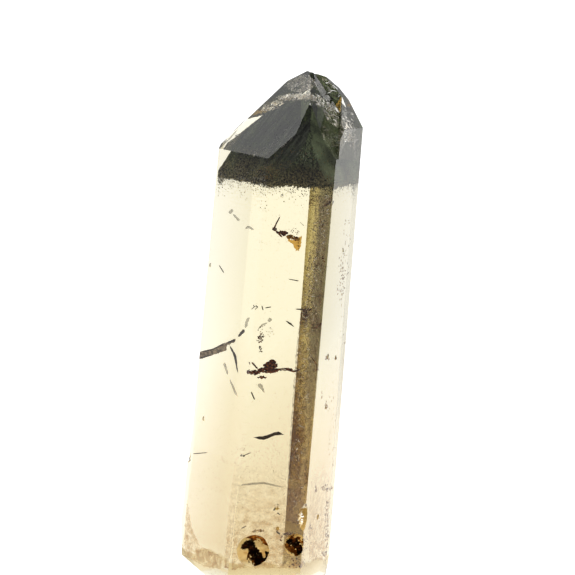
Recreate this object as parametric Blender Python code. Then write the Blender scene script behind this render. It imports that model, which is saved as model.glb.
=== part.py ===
"""Phantom quartz: one clear pointed crystal with a dark green phantom sealed under its tip.

The crystal is a six-sided prism under a three-faced point.  Every flat face is one plane,
named by its azimuth about the long axis (0 faces the viewer, positive to the right), its
inclination from the axis and its distance from the axis point at the level of the phantom.
The clear body is parted in two at the foot of the phantom: the prism, from which the earlier
point rises, and the cap, whose pocket holds the phantom.
"""

import math

import bmesh
import bpy
from mathutils import Matrix, Vector

MM = 0.001

# Stance: the long axis leans to the right and the foot is cut level.
LEAN = math.radians(5.0)
AXIS_HEIGHT = 82.0
AXIS_X = 4.2
AXIS_Y = -2.48

# Prism faces: azimuth and inclination in degrees, distance in mm.
PRISM_FACES = {
    "front": (8.0, 89.0, 12.57),
    "right": (68.0, 89.4, 12.02),
    "back right": (128.0, 88.9, 11.60),
    "back": (-172.0, 89.3, 14.60),
    "back left": (-112.0, 89.5, 12.91),
    "left": (-52.0, 89.3, 11.67),
}

# Faces of the point.  The three large ones meet near the tip, the others are small.
POINT_FACES = {
    "large left": (-51.8, 49.4, 12.04),
    "large right": (67.0, 49.0, 16.30),
    "large back": (-172.0, 50.0, 14.78),
    "small front": (18.5, 53.5, 15.45),
    "small back left": (-114.0, 54.0, 13.69),
    "small back right": (128.0, 52.0, 18.90),
    "worn shoulder": (108.0, 28.1, 21.40),
    "worn tip": (98.0, 12.1, 21.15),
}

# The front of the large right face lies lower than its back, behind a growth step.
LOW_RIGHT_FACE = (65.1, 55.4, 13.31)
STEP_SIDE = (-90.0, 90.0, -8.80)
STEP_FRONT = (8.0, 89.0, -1.50)

# Phantom: the earlier point, lower by the later growth, with a thin wall of clear quartz.
PHANTOM_DROP = 5.85
PHANTOM_WALL = 0.8
PHANTOM_THICK = 0.9
PHANTOM_FOOT = -0.4
GAP = 0.3

# Level growth ledges that widen the lower left of the prism: width out, top height and
# inclination of the ledge from the axis.
LEDGES = (
    (0.40, -44.5, 78.0),
    (0.70, -57.5, 74.0),
)
LEDGE_FACES = ("left", "back left")

# Broken base: rough planes around the level foot.
BREAK_FACES = {
    "left flat": (-86.0, 95.0, 21.70),
    "left chip": (-68.0, 147.8, 72.8),
    "front chip": (15.0, 152.0, 76.6),
    "right chip": (92.0, 97.0, 24.06),
    "right corner": (100.0, 135.0, 66.5),
    "back chip": (-165.0, 148.0, 76.3),
    "back right chip": (140.0, 143.0, 73.0),
    "back left chip": (-128.0, 150.0, 76.4),
}

# Shell-shaped scars: centre across, deep, up, radius, and stretch along the axis.
BASE_SCARS = (
    (20.5, -4.0, -81.0, 5.6, 0.90),
    (-1.0, 20.5, -84.5, 8.0, 0.80),
    (-0.6, -15.6, -70.7, 3.5, 1.00),
    (7.3, -13.9, -69.2, 2.3, 1.10),
)
EDGE_SCARS = (
    (-17.5, -2.2, -56.8, 2.9, 1.00),
    (10.0, -14.5, -63.6, 3.2, 1.30),
)
TIP_SCARS = (
    (4.0, -0.4, 21.3, 2.3, 1.00),
)

# Small pits left by corrosion: face, place along the face, height, radius.
PITS = (
    ("front", -3.0, -1.9, 0.35),
    ("front", 1.1, -61.8, 0.60),
    ("front", 1.6, -66.1, 0.40),
    ("right", -2.9, -32.7, 0.50),
    ("right", 1.7, -33.7, 0.45),
    ("right", -1.7, -43.0, 0.45),
    ("right", 0.7, -12.3, 0.40),
    ("right", -1.0, -65.5, 0.55),
    ("left", -5.0, -48.1, 0.45),
    ("left", -7.4, -17.8, 0.40),
)

BLANK = 400.0


def normal_of(azimuth, inclination):
    """Unit vector facing the azimuth at the inclination from the long axis, in degrees."""
    a = math.radians(azimuth)
    i = math.radians(inclination)
    return Vector((math.sin(i) * math.sin(a), -math.sin(i) * math.cos(a), math.cos(i)))


def plane_of(face, shift=0.0):
    """Plane of a named face as its normal and distance, moved out by the shift."""
    azimuth, inclination, distance = face
    return normal_of(azimuth, inclination), distance + shift


def cut_convex(planes):
    """Closed convex body left when a large block is cut by every plane."""
    bm = bmesh.new()
    bmesh.ops.create_cube(bm, size=BLANK)
    for normal, distance in planes:
        geometry = bm.verts[:] + bm.edges[:] + bm.faces[:]
        cut = bmesh.ops.bisect_plane(
            bm, geom=geometry, dist=1e-5, plane_co=normal * distance, plane_no=normal,
            clear_outer=True)
        rim = [item for item in cut["geom_cut"] if isinstance(item, bmesh.types.BMEdge)]
        if rim:
            bmesh.ops.contextual_create(bm, geom=rim)
    bmesh.ops.remove_doubles(bm, verts=bm.verts[:], dist=0.002)
    bmesh.ops.dissolve_degenerate(bm, edges=bm.edges[:], dist=0.002)
    bmesh.ops.recalc_face_normals(bm, faces=bm.faces[:])
    return bm


def flattened_ball(centre, radius, flatten, level):
    """Shell-shaped cutter: a faceted ball drawn out along the long axis."""
    bm = bmesh.new()
    shape = Matrix.Translation(Vector(centre)) @ Matrix.Diagonal((1.0, 1.0, flatten, 1.0))
    bmesh.ops.create_icosphere(bm, subdivisions=level, radius=radius, matrix=shape)
    return bm


def collection_named(name):
    """New collection linked to the scene."""
    made = bpy.data.collections.new(name)
    bpy.context.scene.collection.children.link(made)
    return made


def object_from(bm, name, collection):
    """Object from a body in millimetres, standing on the leaning axis."""
    bmesh.ops.scale(bm, vec=(MM, MM, MM), verts=bm.verts[:])
    mesh = bpy.data.meshes.new(name)
    bm.to_mesh(mesh)
    bm.free()
    made = bpy.data.objects.new(name, mesh)
    made.location = (AXIS_X * MM, AXIS_Y * MM, AXIS_HEIGHT * MM)
    made.rotation_euler = (0.0, LEAN, 0.0)
    collection.objects.link(made)
    return made


def cutter_from(bm, name, collection):
    """Hidden body for a Boolean."""
    made = object_from(bm, name, collection)
    made.hide_render = True
    made.display_type = "WIRE"
    return made


def combine(target, other, operation):
    """Exact Boolean of the target with another body."""
    step = target.modifiers.new(other.name, "BOOLEAN")
    step.operation = operation
    step.solver = "EXACT"
    step.object = other


def material_named(name, colour, roughness, transmission, ior):
    """Plain Principled material."""
    made = bpy.data.materials.new(name)
    made.use_nodes = True
    shader = made.node_tree.nodes["Principled BSDF"]
    shader.inputs["Base Color"].default_value = (*colour, 1.0)
    shader.inputs["Roughness"].default_value = roughness
    shader.inputs["Transmission Weight"].default_value = transmission
    shader.inputs["IOR"].default_value = ior
    made.diffuse_color = (*colour, 1.0)
    return made


def level_plane(height, upward):
    """Plane square to the long axis at a height, facing up or down."""
    if upward:
        return Vector((0.0, 0.0, 1.0)), height
    return Vector((0.0, 0.0, -1.0)), -height


def foot_plane():
    """Level plane of the foot, seen from the leaning crystal."""
    down = Vector((math.sin(LEAN), 0.0, -math.cos(LEAN)))
    return down, AXIS_HEIGHT


def outer_planes(widened=0.0):
    """All faces of the grown crystal, its lower left widened for the ledges."""
    planes = []
    for name, face in PRISM_FACES.items():
        planes.append(plane_of(face, widened if name in LEDGE_FACES else 0.0))
    planes += [plane_of(face) for face in POINT_FACES.values()]
    return planes


def earlier_planes(inset):
    """Faces of the earlier point, inset from the face of the phantom."""
    planes = [plane_of(face, -PHANTOM_WALL - inset) for face in PRISM_FACES.values()]
    names = ("large left", "large right", "large back", "small front", "small back left",
             "small back right")
    for name in names:
        face = LOW_RIGHT_FACE if name == "large right" else POINT_FACES[name]
        drop = PHANTOM_DROP * math.cos(math.radians(face[1]))
        planes.append(plane_of(face, -drop - inset))
    return planes


def step_cutter(cutters):
    """Wedge that lowers the front of the large right face, behind two step faces."""
    normal, distance = plane_of(LOW_RIGHT_FACE)
    planes = [(-normal, -distance)]
    side, side_distance = plane_of(STEP_SIDE)
    planes.append((-side, -side_distance))
    front, front_distance = plane_of(STEP_FRONT)
    planes.append((-front, -front_distance))
    planes.append(level_plane(-8.0, False))
    planes.append(level_plane(40.0, True))
    return cutter_from(cut_convex(planes), "right_step", cutters)


def scar_cutters(scars, name, level, cutters):
    """One cutter for each shell-shaped scar."""
    made = []
    for number, (x, y, z, radius, flatten) in enumerate(scars, start=1):
        bm = flattened_ball((x, y, z), radius, flatten, level)
        made.append(cutter_from(bm, f"{name}_{number}", cutters))
    return made


def pit_cutters(cutters):
    """Small pits sunk by half their radius into the prism faces."""
    made = []
    for number, (face, along, height, radius) in enumerate(PITS, start=1):
        azimuth, inclination, distance = PRISM_FACES[face]
        normal = normal_of(azimuth, inclination)
        across = Vector((0.0, 0.0, 1.0)).cross(normal).normalized()
        up = normal.cross(across)
        foot = normal * (distance + radius * 0.55)
        centre = foot + across * along + up * (height / up.z)
        bm = flattened_ball(centre, radius, 1.3, 1)
        made.append(cutter_from(bm, f"pit_{number}", cutters))
    return made


def ledge_cutters(cutters):
    """Wedges that narrow the left faces in steps above each sloping ledge."""
    made = []
    width = 0.0
    for number, (out, top, slope) in enumerate(LEDGES, start=1):
        rise = math.radians(slope)
        for name in LEDGE_FACES:
            azimuth = PRISM_FACES[name][0]
            normal, distance = plane_of(PRISM_FACES[name], width)
            ledge = normal_of(azimuth, slope)
            reach = distance * math.sin(rise) + top * math.cos(rise)
            wedge = cut_convex([(-normal, -distance), (-ledge, -reach)])
            label = f"ledge_{number}_" + name.replace(" ", "_")
            made.append(cutter_from(wedge, label, cutters))
        width = out
    return made


def build_prism(collection, cutters):
    """Prism with its broken base and the earlier point rising into the phantom."""
    planes = outer_planes(LEDGES[-1][0])
    planes.append(level_plane(PHANTOM_FOOT - GAP, True))
    prism = object_from(cut_convex(planes), "quartz_prism", collection)
    earlier = earlier_planes(PHANTOM_THICK + GAP)
    earlier.append(level_plane(PHANTOM_FOOT - 3.0, False))
    combine(prism, cutter_from(cut_convex(earlier), "earlier_point", cutters), "UNION")
    for wedge in ledge_cutters(cutters):
        combine(prism, wedge, "DIFFERENCE")
    for name, face in BREAK_FACES.items():
        normal, distance = plane_of(face)
        outside = [(-normal, -distance), level_plane(-40.0, True)]
        cutter = cutter_from(cut_convex(outside), "break_" + name.replace(" ", "_"), cutters)
        combine(prism, cutter, "DIFFERENCE")
    for scar in scar_cutters(BASE_SCARS, "base_scar", 3, cutters):
        combine(prism, scar, "DIFFERENCE")
    for scar in scar_cutters(EDGE_SCARS, "edge_scar", 2, cutters):
        combine(prism, scar, "DIFFERENCE")
    for pit in pit_cutters(cutters):
        combine(prism, pit, "DIFFERENCE")
    down, distance = foot_plane()
    combine(prism, cutter_from(cut_convex([(-down, -distance)]), "foot", cutters), "DIFFERENCE")
    return prism


def build_cap(collection, cutters):
    """Later growth over the phantom, with the growth step, the worn tip and the pocket."""
    planes = outer_planes()
    planes.append(level_plane(PHANTOM_FOOT, False))
    cap = object_from(cut_convex(planes), "quartz_cap", collection)
    combine(cap, step_cutter(cutters), "DIFFERENCE")
    for scar in scar_cutters(TIP_SCARS, "tip_scar", 3, cutters):
        combine(cap, scar, "DIFFERENCE")
    pocket = earlier_planes(-GAP)
    pocket.append(level_plane(PHANTOM_FOOT - 3.0, False))
    combine(cap, cutter_from(cut_convex(pocket), "phantom_pocket", cutters), "DIFFERENCE")
    return cap


def build_phantom(collection, cutters):
    """Thin dark cap on the faces of the earlier point, open below."""
    planes = earlier_planes(0.0)
    planes.append(level_plane(PHANTOM_FOOT, False))
    phantom = object_from(cut_convex(planes), "chlorite_phantom", collection)
    inner = earlier_planes(PHANTOM_THICK)
    inner.append(level_plane(PHANTOM_FOOT - 3.0, False))
    combine(phantom, cutter_from(cut_convex(inner), "phantom_inside", cutters), "DIFFERENCE")
    return phantom


def main():
    for old in list(bpy.data.objects):
        bpy.data.objects.remove(old, do_unlink=True)
    parts = collection_named("phantom_quartz")
    cutters = collection_named("cutters")
    prism = build_prism(parts, cutters)
    cap = build_cap(parts, cutters)
    phantom = build_phantom(parts, cutters)
    prism.data.materials.append(
        material_named("smoky_clear_quartz", (0.86, 0.80, 0.66), 0.05, 0.9, 1.54))
    cap.data.materials.append(
        material_named("clear_quartz", (0.92, 0.91, 0.86), 0.04, 0.9, 1.54))
    phantom.data.materials.append(
        material_named("green_chlorite", (0.045, 0.055, 0.035), 0.85, 0.0, 1.5))
    cap.parent = prism
    cap.matrix_parent_inverse = prism.matrix_basis.inverted()
    phantom.parent = prism
    phantom.matrix_parent_inverse = prism.matrix_basis.inverted()


main()
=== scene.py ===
"""Phantom quartz in a plain studio: the clear crystal, the dark green phantom sealed under
its tip, and what the crystal has taken in since: cracks, veils, rust and specks."""

import math
import random

import bpy
from mathutils import Matrix, Vector, noise


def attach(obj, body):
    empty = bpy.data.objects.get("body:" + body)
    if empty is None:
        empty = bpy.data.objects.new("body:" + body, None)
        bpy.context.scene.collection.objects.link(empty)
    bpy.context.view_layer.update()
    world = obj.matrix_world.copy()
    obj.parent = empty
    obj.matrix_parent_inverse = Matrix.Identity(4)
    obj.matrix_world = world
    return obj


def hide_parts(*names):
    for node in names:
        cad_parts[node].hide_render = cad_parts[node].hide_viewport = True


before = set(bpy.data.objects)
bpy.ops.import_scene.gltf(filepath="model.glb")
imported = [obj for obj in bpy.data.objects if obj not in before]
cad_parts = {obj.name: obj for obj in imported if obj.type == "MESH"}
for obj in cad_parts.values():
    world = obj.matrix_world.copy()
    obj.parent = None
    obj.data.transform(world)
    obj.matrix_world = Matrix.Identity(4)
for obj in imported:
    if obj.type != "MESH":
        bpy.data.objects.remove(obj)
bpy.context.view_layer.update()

bl_info = {
    "name": "Phantom Quartz",
    "version": (1, 0, 0),
    "blender": (4, 5, 0),
    "location": "View3D > Sidebar > Phantom Quartz",
    "description": "Builds a clear quartz crystal with a chlorite phantom in a pale studio",
    "category": "Add Mesh",
}

MM = 0.001
LEAP = Vector((31.0, 17.0, 5.0))
BODY = "root"
QUARTZ_IOR = 1.544

# Stance of the crystal: the point of its long axis at the level of the phantom, and its lean.
AXIS_POINT = Vector((4.2, -2.48, 82.0))
LEAN = math.radians(5.0)
TO_WORLD = Matrix.Rotation(LEAN, 3, "Y")

# Faces: azimuth about the long axis (0 towards the viewer, positive to the right) and
# inclination from it in degrees, distance from the axis point in mm.
PRISM_FACES = {
    "front": (8.0, 89.0, 12.57),
    "right": (68.0, 89.4, 12.02),
    "back right": (128.0, 88.9, 11.60),
    "back": (-172.0, 89.3, 14.60),
    "back left": (-112.0, 89.5, 12.91),
    "left": (-52.0, 89.3, 11.67),
}
POINT_FACES = {
    "large left": (-51.8, 49.4, 12.04),
    "large right": (67.0, 49.0, 16.30),
    "large back": (-172.0, 50.0, 14.78),
    "small front": (18.5, 53.5, 15.45),
    "small back left": (-114.0, 54.0, 13.69),
    "small back right": (128.0, 52.0, 18.90),
    "worn shoulder": (108.0, 28.1, 21.40),
    "worn tip": (98.0, 12.1, 21.15),
}
LOW_RIGHT_FACE = (65.1, 55.4, 13.31)
STEP_SIDE = (-90.0, 90.0, -8.80)
STEP_FRONT = (8.0, 89.0, -1.50)
LEDGES = ((0.40, -44.5, 86.0), (0.70, -57.5, 86.0))
LEDGE_FACES = ("left", "back left")
BREAK_FACES = {
    "left flat": (-86.0, 95.0, 21.70),
    "left chip": (-68.0, 147.8, 72.8),
    "front chip": (15.0, 152.0, 76.6),
    "right chip": (92.0, 97.0, 24.06),
    "right corner": (100.0, 135.0, 66.5),
    "back chip": (-165.0, 148.0, 76.3),
    "back right chip": (140.0, 143.0, 73.0),
    "back left chip": (-128.0, 150.0, 76.4),
}
# Shell-shaped scars: centre across, deep, up, radius, and stretch along the axis.
SCARS = (
    (20.5, -4.0, -81.0, 5.6, 0.90),
    (-1.0, 20.5, -84.5, 8.0, 0.80),
    (-0.6, -15.6, -70.7, 3.5, 1.00),
    (7.3, -13.9, -69.2, 2.3, 1.10),
    (-17.5, -2.2, -56.8, 2.9, 1.00),
    (10.0, -14.5, -63.6, 3.2, 1.30),
    (4.0, -0.4, 21.3, 2.3, 1.00),
)
PITS = (
    ("front", -3.0, -1.9, 0.35),
    ("front", 1.1, -61.8, 0.60),
    ("front", 1.6, -66.1, 0.40),
    ("right", -2.9, -32.7, 0.50),
    ("right", 1.7, -33.7, 0.45),
    ("right", -1.7, -43.0, 0.45),
    ("right", 0.7, -12.3, 0.40),
    ("right", -1.0, -65.5, 0.55),
    ("left", -5.0, -48.1, 0.45),
    ("left", -7.4, -17.8, 0.40),
)

# Rust that lines the two hollows of the base, as strokes seen: across, down and half width at
# both ends.
BLACK_LINING = (
    ((244.0, 547.0, 3.0), (250.0, 543.0, 4.4)),
    ((250.0, 543.0, 4.4), (254.0, 552.0, 5.0)),
    ((254.0, 552.0, 5.0), (262.5, 565.0, 6.4)),
    ((266.6, 553.0, 1.2), (266.4, 566.0, 2.8)),
    ((289.0, 541.0, 2.4), (296.0, 543.0, 4.4)),
    ((296.0, 543.0, 4.4), (300.0, 553.0, 3.0)),
)
RUST_LINING = (
    ((249.0, 538.0, 2.6), (259.0, 536.6, 3.2)),
    ((259.0, 536.6, 3.2), (268.0, 542.0, 2.4)),
    ((248.0, 556.0, 1.6), (256.0, 564.0, 2.6)),
    ((287.0, 545.0, 3.4), (301.0, 556.0, 5.0)),
    ((292.0, 538.0, 2.4), (302.0, 542.0, 2.4)),
)

# Open flaws, thin gaps that glint: patches as seen, with middle across and down, half width
# and half height, depth in mm, how many, and their size in mm.
OPEN_FLAWS = (
    (268.0, 109.0, 7.0, 2.6, 0.4, 16, 0.7),
    (290.0, 97.5, 14.0, 3.6, 0.4, 70, 0.7),
    (312.0, 98.0, 9.0, 4.0, 0.4, 50, 0.7),
    (325.0, 104.0, 6.0, 7.0, 0.4, 40, 0.8),
    (334.0, 117.0, 5.0, 10.0, 0.4, 44, 0.8),
    (350.0, 128.0, 8.0, 20.0, 0.4, 50, 1.0),
    (335.0, 92.0, 9.0, 10.0, 0.4, 36, 0.7),
    (236.0, 140.0, 10.0, 9.0, 0.4, 12, 0.7),
)
FLAW_SHAPE = ((0.5, 1.6), (0.2, 0.7), (0.03, 0.07))

# The phantom is the earlier point, lower by the later growth.
PHANTOM_DROP = 5.85
PHANTOM_FOOT = -0.4

# The photo's viewing place: level, a little above the crystal, with a 100 mm lens.
VIEW_RISE = math.radians(5.5)
VIEW_DISTANCE = 311.45
VIEW_TURN_DOWN = math.radians(3.85)

# The lit box stands behind the crystal and a little to its left, and leans over it.
BOX_DIRECTION = (-0.358, 0.769, 0.530)
LENS = 100.0


def linear(colour):
    """Linear colour of an sRGB hex value such as "#c8b48a"."""
    parts = [int(colour[i:i + 2], 16) / 255.0 for i in (1, 3, 5)]
    return tuple(p / 12.92 if p <= 0.04045 else ((p + 0.055) / 1.055) ** 2.4 for p in parts)


def normal_of(azimuth, inclination):
    """Unit vector in the crystal's own directions, angles in degrees."""
    a = math.radians(azimuth)
    i = math.radians(inclination)
    return Vector((math.sin(i) * math.sin(a), -math.sin(i) * math.cos(a), math.cos(i)))


def place(point):
    """World place in metres of a point given in the crystal's own mm."""
    return (TO_WORLD @ Vector(point) + AXIS_POINT) * MM


def direction(vector):
    """World direction of a direction in the crystal."""
    return TO_WORLD @ Vector(vector)


def camera_place():
    """Where the camera stands, in mm."""
    ahead = Vector((0.0, math.cos(VIEW_RISE), -math.sin(VIEW_RISE)))
    return AXIS_POINT - Vector((0.35, 0.0, 0.0)) - ahead * VIEW_DISTANCE


def face_plane(face, shift=0.0):
    """A face's normal and distance in the crystal."""
    azimuth, inclination, distance = face
    return normal_of(azimuth, inclination), distance + shift


def point_on(face_name, along, height):
    """Point on a prism face: mm along it to the right and up from the axis point."""
    normal, distance = face_plane(PRISM_FACES[face_name])
    across = Vector((0.0, 0.0, 1.0)).cross(normal).normalized()
    up = normal.cross(across)
    return normal * distance + across * along + up * ((height - normal.z * distance) / up.z)


def shown(spot):
    """Place in the picture of a point on the surface, in 575ths of its width."""
    turn = VIEW_RISE + VIEW_TURN_DOWN
    away = TO_WORLD @ spot + AXIS_POINT - camera_place()
    reach = away.dot(Vector((0.0, math.cos(turn), -math.sin(turn)))) * 36.0 / (LENS * 575.0)
    above = Vector((0.0, math.sin(turn), math.cos(turn)))
    return Vector((287.5 + away.x / reach, 287.5 - away.dot(above) / reach))


def entry(eye, sight, faces):
    """How far along the sight it enters the body within the faces, and through which."""
    hits = [((distance - eye.dot(normal)) / sight.dot(normal), normal)
            for normal, distance in map(face_plane, faces) if sight.dot(normal) < 0.0]
    return max(hits, key=lambda hit: hit[0])


def seen(across, down, depth):
    """Point of the crystal that shows at a place in the picture, counted in 575ths of its
    width from the upper left corner, that many mm behind the face along the line of sight,
    which bends where it enters the quartz."""
    turn = VIEW_RISE + VIEW_TURN_DOWN
    ahead = Vector((0.0, math.cos(turn), -math.sin(turn)))
    above = Vector((0.0, math.sin(turn), math.cos(turn)))
    sight = ahead * LENS * 575.0 / 36.0 + Vector((1.0, 0.0, 0.0)) * (across - 287.5)
    sight = TO_WORLD.transposed() @ (sight - above * (down - 287.5)).normalized()
    eye = TO_WORLD.transposed() @ (camera_place() - AXIS_POINT)
    outer = (*PRISM_FACES.values(), *POINT_FACES.values())
    reach, normal = entry(eye, sight, outer)
    low = entry(eye, sight, [f for f in outer if f[1] != 49.0] + [LOW_RIGHT_FACE])
    spot = eye + sight * low[0]
    if all(spot.dot(n) > d for n, d in map(face_plane, (STEP_SIDE, STEP_FRONT))):
        reach, normal = low
    cosine = -sight.dot(normal)
    ratio = 1.0 / QUARTZ_IOR
    inner = sight * ratio + normal * (
        ratio * cosine - math.sqrt(1.0 - ratio * ratio * (1.0 - cosine * cosine)))
    return eye + sight * reach + inner * depth


def deselect():
    """Object mode with nothing selected."""
    if bpy.context.object and bpy.context.object.mode != "OBJECT":
        bpy.ops.object.mode_set(mode="OBJECT")
    bpy.ops.object.select_all(action="DESELECT")


def apply_modifiers(obj):
    """Applies every modifier in order."""
    deselect()
    obj.select_set(True)
    bpy.context.view_layer.objects.active = obj
    for modifier in list(obj.modifiers):
        bpy.ops.object.modifier_apply(modifier=modifier.name)


def take(obj, name, material=None):
    """Names the piece, applies its place, and gives it its material."""
    obj.name = name
    obj.data.name = name
    deselect()
    obj.select_set(True)
    bpy.context.view_layer.objects.active = obj
    bpy.ops.object.transform_apply(location=True, rotation=True, scale=True)
    if material:
        obj.data.materials.clear()
        obj.data.materials.append(material)
    return obj


def join(objects, name, material=None):
    """One piece from several."""
    deselect()
    for obj in objects:
        obj.select_set(True)
    bpy.context.view_layer.objects.active = objects[0]
    if len(objects) > 1:
        bpy.ops.object.join()
    return take(bpy.context.object, name, material)


def add_node(tree, kind, links=(), **settings):
    """Adds a shader node; settings name its properties or sockets, links join its inputs."""
    node = tree.nodes.new(kind)
    for key, value in settings.items():
        if hasattr(node, key):
            setattr(node, key, value)
        else:
            node.inputs[int(key[1:]) if key[1:].isdigit() else key.replace("_", " ")
                        ].default_value = value
    for socket, source in links:
        tree.links.new(source, node.inputs[socket])
    return node


def new_material(name):
    """Empty node material with its Principled shader and output."""
    material = bpy.data.materials.new(name)
    material.use_nodes = True
    tree = material.node_tree
    return material, tree, tree.nodes["Principled BSDF"], tree.nodes["Material Output"]


def set_ramp(node, stops):
    """Colour stops of a Color Ramp: place and hex colour or grey value."""
    ramp = node.color_ramp
    while len(ramp.elements) > 1:
        ramp.elements.remove(ramp.elements[-1])
    for number, (at, colour) in enumerate(stops):
        element = ramp.elements[0] if number == 0 else ramp.elements.new(at)
        element.position = at
        value = linear(colour) if isinstance(colour, str) else (colour,) * 3
        element.color = (*value, 1.0)


def cut_body(planes, size=60.0):
    """Solid left of a tall six-sided block when every plane has cut it."""
    deselect()
    bpy.ops.mesh.primitive_cylinder_add(
        vertices=6, radius=size * MM, depth=4 * size * MM, location=AXIS_POINT * MM)
    obj = bpy.context.object
    bpy.ops.object.transform_apply(location=True, rotation=True, scale=True)
    bpy.ops.object.mode_set(mode="EDIT")
    for normal, distance in planes:
        bpy.ops.mesh.select_all(action="SELECT")
        bpy.ops.mesh.bisect(
            plane_co=place(normal * distance), plane_no=direction(normal), use_fill=True,
            clear_inner=False, clear_outer=True, threshold=1e-7)
    bpy.ops.mesh.select_all(action="SELECT")
    bpy.ops.mesh.remove_doubles(threshold=2e-6)
    bpy.ops.mesh.dissolve_degenerate(threshold=2e-6)
    bpy.ops.mesh.normals_make_consistent(inside=False)
    bpy.ops.object.mode_set(mode="OBJECT")
    return obj


def carve(target, cutter):
    """Takes the cutter out of the target, then removes the cutter."""
    modifier = target.modifiers.new("carve", "BOOLEAN")
    modifier.operation = "DIFFERENCE"
    modifier.solver = "EXACT"
    modifier.object = cutter
    apply_modifiers(target)
    bpy.data.objects.remove(cutter, do_unlink=True)


def shell_ball(centre, radius, stretch, level, ripple=0.0):
    """Ball whose surface has the low ripples of a shell-shaped break."""
    deselect()
    bpy.ops.mesh.primitive_ico_sphere_add(subdivisions=level, radius=radius * MM)
    obj = bpy.context.object
    for vertex in obj.data.vertices:
        away = vertex.co.normalized()
        if ripple:
            wave = noise.noise(away * 2.3 + Vector(centre)) + 0.35 * math.sin(
                away.z * 21.0 + 3.0 * noise.noise(away * 3.1))
            vertex.co += away * wave * ripple * MM
        vertex.co.z *= stretch
        vertex.co = TO_WORLD @ vertex.co + place(centre)
    return obj


def scattered(template, places, name, material):
    """One piece of many copies of the template, each set by its own matrix in mm."""
    corners = [vertex.co.copy() for vertex in template.data.vertices]
    faces = [tuple(polygon.vertices) for polygon in template.data.polygons]
    bpy.data.objects.remove(template, do_unlink=True)
    spots = []
    sides = []
    for matrix in places:
        sides += [tuple(index + len(spots) for index in face) for face in faces]
        spots += [(matrix @ corner) * MM for corner in corners]
    mesh = bpy.data.meshes.new(name)
    mesh.from_pydata(spots, [], sides)
    obj = bpy.data.objects.new(name, mesh)
    bpy.context.scene.collection.objects.link(obj)
    return take(obj, name, material)


def crumb(seed, roughness=0.25, level=1):
    """Small uneven lump of unit size with a few dozen faces."""
    deselect()
    bpy.ops.mesh.primitive_ico_sphere_add(subdivisions=level, radius=1.0)
    obj = bpy.context.object
    for vertex in obj.data.vertices:
        vertex.co *= 1.0 + roughness * noise.noise(vertex.co * 1.7 + Vector((seed, 0.0, 0.0)))
    return obj


def inside(spot, margin):
    """Whether a place in the crystal is that far within its faces."""
    def within(face):
        normal, distance = face_plane(face)
        return spot.dot(normal) < distance - margin
    return all(map(within, (*PRISM_FACES.values(), *POINT_FACES.values()))) and any(
        map(within, (LOW_RIGHT_FACE, STEP_SIDE, STEP_FRONT)))


def strewn(patches, seed, spread=0.3, shape=((0.5, 1.3), (0.4, 0.9), (0.3, 0.7)), facing=None,
           margin=0.0, jitter=0.2):
    """Matrices for lumps strewn over patches as seen: middle across and down, half width and
    half height, depth in mm, how many, and their size in mm.  Flat ones share a facing, each
    off it by the jitter."""
    chance = random.Random(seed)
    places = []
    for across, down, wide, high, depth, count, size in patches:
        for _ in range(count):
            angle = chance.uniform(0.0, 2.0 * math.pi)
            reach = math.sqrt(chance.random())
            spot = seen(across + wide * reach * math.cos(angle),
                        down + high * reach * math.sin(angle), depth + chance.uniform(0.0, spread))
            if margin and not inside(spot, margin + size * 0.4):
                continue
            turn = Matrix.Rotation(chance.uniform(0.0, 6.28), 4, Vector(
                (chance.uniform(-1, 1), chance.uniform(-1, 1), chance.uniform(-1, 1.1))))
            if facing:
                way = Vector([part + chance.gauss(0.0, jitter) for part in facing])
                turn = (way.to_track_quat("Z", "Y").to_matrix().to_4x4()
                        @ Matrix.Rotation(chance.uniform(0.0, 6.28), 4, "Z"))
            stretch = Matrix.Diagonal((*(size * chance.uniform(*span) for span in shape), 1.0))
            places.append(Matrix.Translation(TO_WORLD @ spot + AXIS_POINT) @ turn @ stretch)
    return places


def plate(outline, depth, thick=0.05, ragged=0.9):
    """Thin flat chip with a ragged outline of places as seen, that deep in mm at its first
    and at its last place."""
    deselect()
    steps = []
    for start, end in zip(outline, outline[1:] + outline[:1]):
        number = max(1, round((Vector(end) - Vector(start)).length / 1.2))
        steps += [Vector(start).lerp(Vector(end), i / number) for i in range(number)]
    bpy.ops.mesh.primitive_circle_add(vertices=len(steps), radius=1.0, fill_type="NGON")
    obj = bpy.context.object
    left = min(spot.x for spot in steps)
    wide = max(spot.x for spot in steps) - left
    for vertex, spot in zip(obj.data.vertices, steps):
        jut = Vector((noise.noise(spot.to_3d() * 0.9), noise.noise(spot.to_3d() * 0.9 + LEAP)))
        deep = depth[0] + (depth[1] - depth[0]) * (spot.x - left) / wide
        vertex.co = place(seen(*(spot + jut * ragged), deep))
    solid = obj.modifiers.new("thickness", "SOLIDIFY")
    solid.thickness = thick * MM
    solid.offset = 0.0
    apply_modifiers(obj)
    bpy.ops.object.mode_set(mode="EDIT")
    bpy.ops.mesh.select_all(action="SELECT")
    bpy.ops.mesh.quads_convert_to_tris()
    bpy.ops.mesh.normals_make_consistent(inside=False)
    bpy.ops.object.mode_set(mode="OBJECT")
    return obj


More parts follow.
